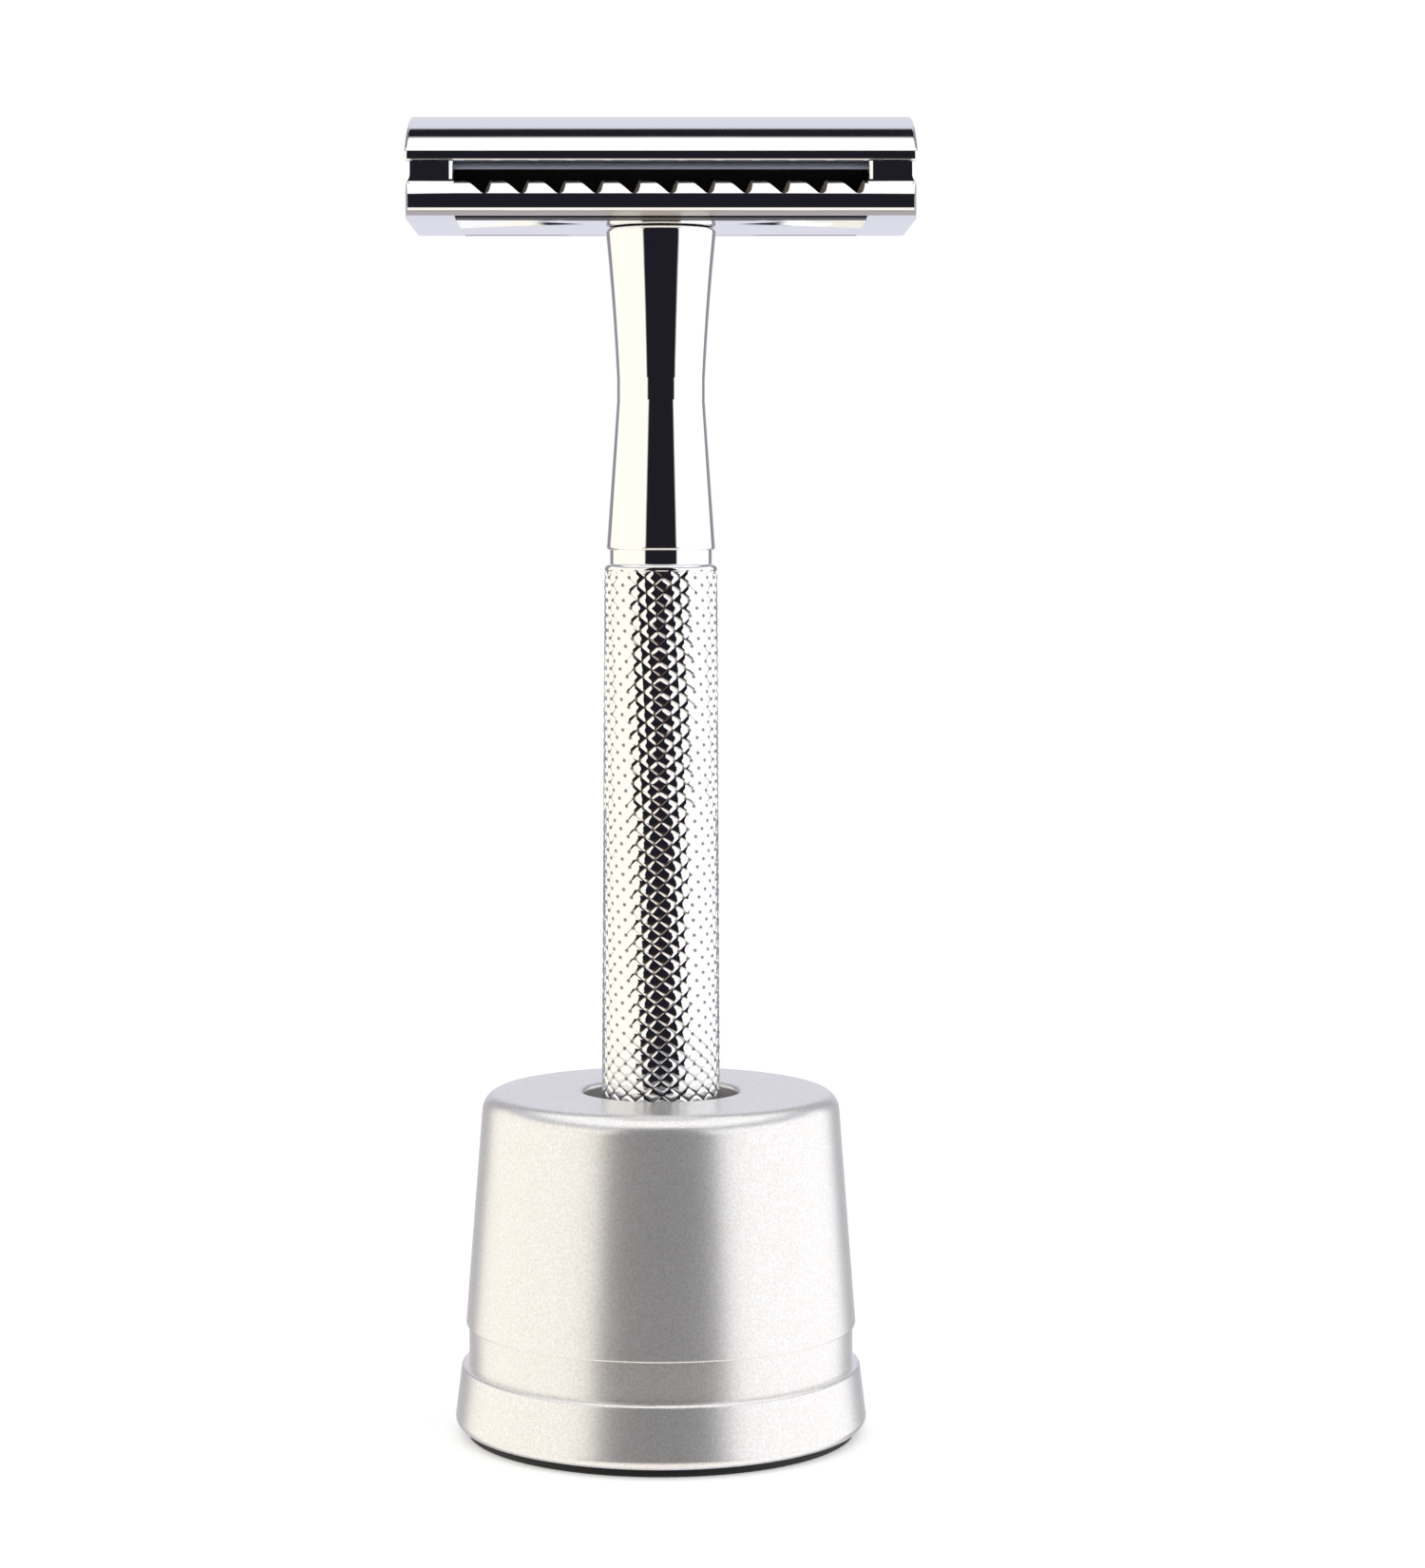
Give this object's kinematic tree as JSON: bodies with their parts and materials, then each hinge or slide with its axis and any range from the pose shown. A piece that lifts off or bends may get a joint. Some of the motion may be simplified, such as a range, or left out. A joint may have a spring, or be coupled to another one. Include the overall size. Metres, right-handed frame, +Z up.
{
  "type": "safety razor",
  "caption": "Chromed double-edge safety razor with a knurled handle and scalloped guard, standing in a weighted satin aluminium stand.",
  "frame": {"origin": "centre of the stand's foot, on the surface that it stands on", "axes": "+Z up the handle, X along the blade, the two shaving edges face -Y and +Y"},
  "size_m": [0.0432, 0.036, 0.1144],
  "materials": {
    "foot_rubber": "matt moulded",
    "cushion_rubber": "matt foam",
    "plain_steel": "turned, uncoated",
    "satin_aluminium": "fine bead-blasted and clear anodised",
    "polished_chrome": "bright polished plate",
    "knurled_chrome": "bright plate over diamond knurling",
    "brass": "turned",
    "blade_steel": "rolled and ground",
    "stud_steel": "bright plate over a rolled thread"
  },
  "bodies": {
    "stand": {"stand_shell": "satin_aluminium", "foot_pad": "foot_rubber", "base_disc": "plain_steel", "ballast_ring": "plain_steel", "well_cushion": "cushion_rubber"},
    "handle": {"grip_tube": "knurled_chrome", "end_knob": "polished_chrome", "grip_weight": "plain_steel", "spacer_ring": "polished_chrome", "joining_stud": "plain_steel", "neck": "polished_chrome", "thread_insert": "brass"},
    "guard": {"base_plate": "polished_chrome"},
    "blade": {"blade": "blade_steel"},
    "cap": {"cap": "polished_chrome", "cap_stud": "stud_steel"}
  },
  "joints": [
    {"name": "razor_lift", "type": "slide", "parent": "stand", "child": "handle", "axis": [0, 0, 1], "range_m": [0, 0.06]},
    {"name": "head_turn", "type": "hinge", "parent": "handle", "child": "guard", "pos_m": [0, 0, 0.10488], "axis": [0, 0, 1], "range_deg": [0, 2700]},
    {"name": "cap_rise", "type": "slide", "parent": "guard", "child": "cap", "axis": [0, 0, 1], "range_m": [0, 0.00601]},
    {"name": "blade_rise", "type": "slide", "parent": "guard", "child": "blade", "axis": [0, 0, 1], "range_m": [0, 0.003]}
  ],
  "couplings": [
    {"joint": "cap_rise", "follows": "head_turn", "m_per_rad": 0.00012732},
    {"joint": "blade_rise", "follows": "head_turn", "m_per_rad": 0.000063662}
  ]
}
